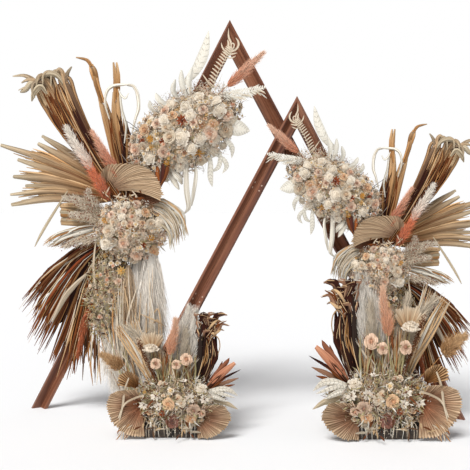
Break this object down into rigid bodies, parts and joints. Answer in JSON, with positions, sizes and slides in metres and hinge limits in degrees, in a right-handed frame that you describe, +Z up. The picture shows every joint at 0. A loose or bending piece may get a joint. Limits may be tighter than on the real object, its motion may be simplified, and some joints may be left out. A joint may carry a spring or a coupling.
{
  "type": "triangular wooden wedding arch with dried flowers",
  "caption": "Freestanding wedding arch of crossing timber triangles, dressed with dried flowers, palm fans and pampas, with a flower trough at each side.",
  "frame": {"origin": "on the floor, in the middle of the whole arch's extent", "axes": "+Z up, +X to the right of someone in front, -Y towards the front"},
  "size_m": [2.8007, 0.8055, 2.2997],
  "materials": {
    "stained_wood": "dark red-brown stain, half-matt, with lengthwise grain",
    "zinc_plate": "dull zinc plating",
    "trough_black": "matt black-brown",
    "cream_petals": "matt dried petals, cream to peach",
    "tan_palm": "dry palm leaf with lengthwise ribs",
    "brown_palm": "dry dark palm leaf with lengthwise ribs",
    "dark_leaves": "dry dark brown leaf, slightly glossy",
    "shell_palm": "pleated beige palm leaf",
    "bleached_leaves": "bleached skeleton leaf",
    "pink_pampas": "dyed feathery grass",
    "cream_pampas": "bleached feathery grass"
  },
  "bodies": {
    "root": {"big_left_inner_board": "stained_wood", "big_left_outer_board": "stained_wood", "big_right_inner_board": "stained_wood", "big_right_outer_board": "stained_wood", "crossing_block": "stained_wood", "left_apex_plume": "pink_pampas", "left_bleached_palm": "bleached_leaves", "left_brown_palm": "brown_palm", "left_cream_pampas": "cream_pampas", "left_dark_leaves": "dark_leaves", "left_fern": "bleached_leaves", "left_flowers_lower": "cream_petals", "left_flowers_middle": "cream_petals", "left_flowers_upper": "cream_petals", "left_grass_fan": "tan_palm", "left_outer_fan": "tan_palm", "left_palm_fan_curled": "tan_palm", "left_palm_fan_side": "tan_palm", "left_palm_fan_upper": "tan_palm", "left_pink_pampas": "pink_pampas", "left_pleated_fan": "shell_palm", "left_pointed_leaves": "brown_palm", "left_shell_fan_inner": "shell_palm", "left_shell_fan_outer": "shell_palm", "left_trough": "trough_black", "left_trough_flowers": "cream_petals", "left_white_pampas": "cream_pampas", "right_apex_plume": "pink_pampas", "right_bleached_palm": "bleached_leaves", "right_brown_palm": "brown_palm", "right_cream_pampas": "cream_pampas", "right_dark_leaves": "dark_leaves", "right_fern": "bleached_leaves", "right_flowers_lower": "cream_petals", "right_flowers_middle": "cream_petals", "right_flowers_upper": "cream_petals", "right_grass_fan": "tan_palm", "right_outer_fan": "tan_palm", "right_palm_fan_curled": "tan_palm", "right_palm_fan_side": "tan_palm", "right_palm_fan_upper": "tan_palm", "right_pink_pampas": "pink_pampas", "right_pleated_fan": "shell_palm", "right_pointed_leaves": "brown_palm", "right_shell_fan_inner": "shell_palm", "right_shell_fan_outer": "shell_palm", "right_trough": "trough_black", "right_trough_flowers": "cream_petals", "right_white_pampas": "cream_pampas", "small_left_inner_board": "stained_wood", "small_left_lower_splice": "zinc_plate", "small_left_outer_board": "stained_wood", "small_left_upper_splice": "zinc_plate", "small_right_inner_board": "stained_wood", "small_right_lower_splice": "zinc_plate", "small_right_outer_board": "stained_wood", "small_right_upper_splice": "zinc_plate"}
  },
  "joints": []
}
